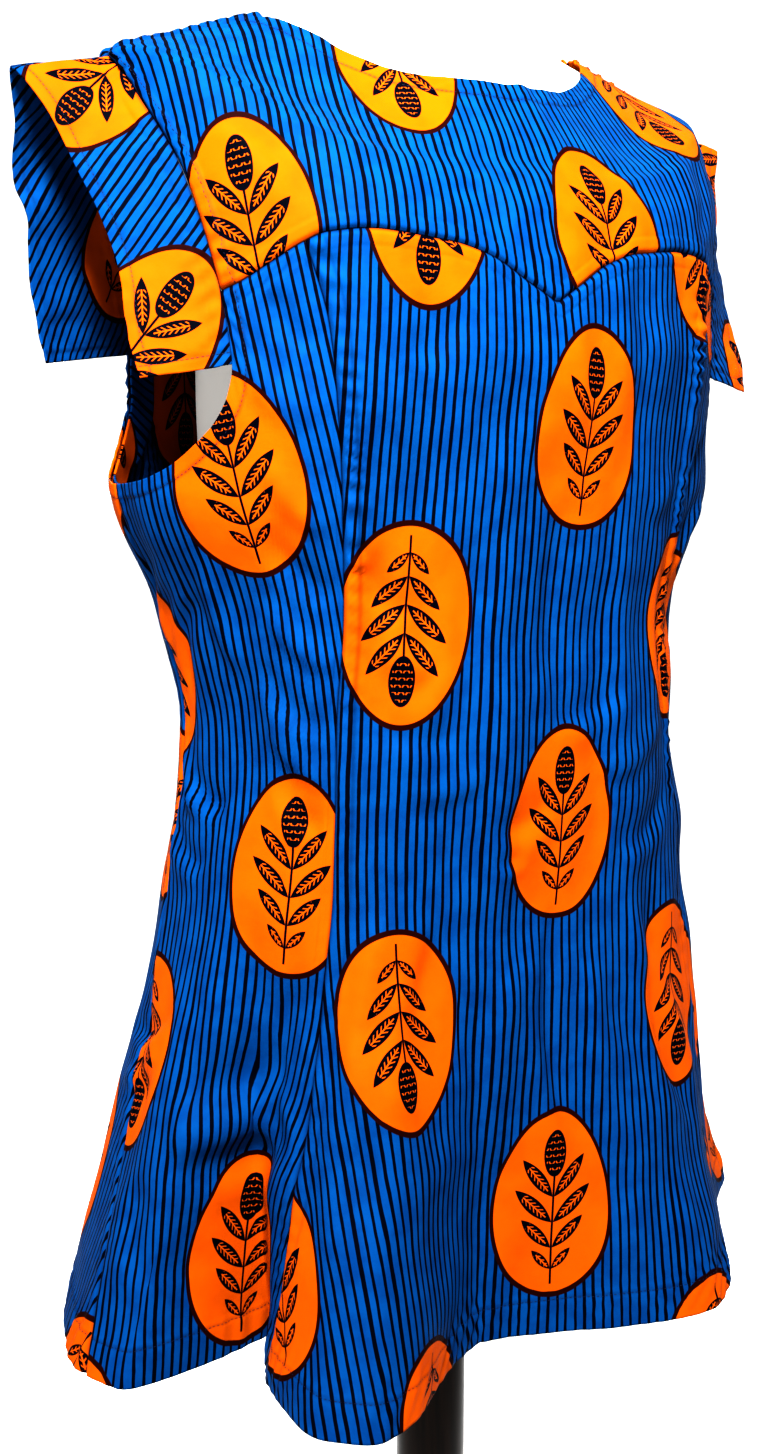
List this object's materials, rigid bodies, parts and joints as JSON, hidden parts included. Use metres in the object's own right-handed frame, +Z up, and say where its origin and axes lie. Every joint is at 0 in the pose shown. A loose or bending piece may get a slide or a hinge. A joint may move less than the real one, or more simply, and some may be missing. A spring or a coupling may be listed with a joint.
{
  "type": "wax print dress on a dress form",
  "caption": "Short flared dress with princess seams, a curved yoke and wide cap sleeves, on a limbless dress form with a round post and base.",
  "frame": {"origin": "on the floor under the middle of the garment, in the underside of the stand's base", "axes": "+Z up, the front of the dress faces -Y, +X towards the wearer's left"},
  "size_m": [0.5559, 0.4261, 1.5425],
  "materials": {
    "print_front_centre": "printed waxed cotton, slight sheen",
    "print_front_side_right": "printed waxed cotton, slight sheen",
    "print_front_side_left": "printed waxed cotton, slight sheen",
    "print_back_side_right": "printed waxed cotton, slight sheen",
    "print_back_side_left": "printed waxed cotton, slight sheen",
    "print_yoke": "printed waxed cotton, slight sheen",
    "print_back_centre": "printed waxed cotton, slight sheen",
    "print_sleeve_front_right": "printed waxed cotton, slight sheen",
    "print_sleeve_back_right": "printed waxed cotton, slight sheen",
    "print_sleeve_front_left": "printed waxed cotton, slight sheen",
    "print_sleeve_back_left": "printed waxed cotton, slight sheen",
    "print_facing_right": "printed waxed cotton, back side",
    "print_facing_left": "printed waxed cotton, back side",
    "form_cover": "tight smooth jersey",
    "pole_gloss": "dark gloss varnish",
    "base_gloss": "dark gloss varnish"
  },
  "bodies": {
    "root": {"front_centre": "print_front_centre", "front_side_right": "print_front_side_right", "front_side_left": "print_front_side_left", "back_side_right": "print_back_side_right", "back_side_left": "print_back_side_left", "front_yoke": "print_yoke", "back_centre": "print_back_centre", "sleeve_front_right": "print_sleeve_front_right", "sleeve_back_right": "print_sleeve_back_right", "sleeve_front_left": "print_sleeve_front_left", "sleeve_back_left": "print_sleeve_back_left", "armhole_facing_right": "print_facing_right", "armhole_facing_left": "print_facing_left", "form_torso": "form_cover", "stand_pole": "pole_gloss", "stand_base": "base_gloss"}
  },
  "joints": []
}
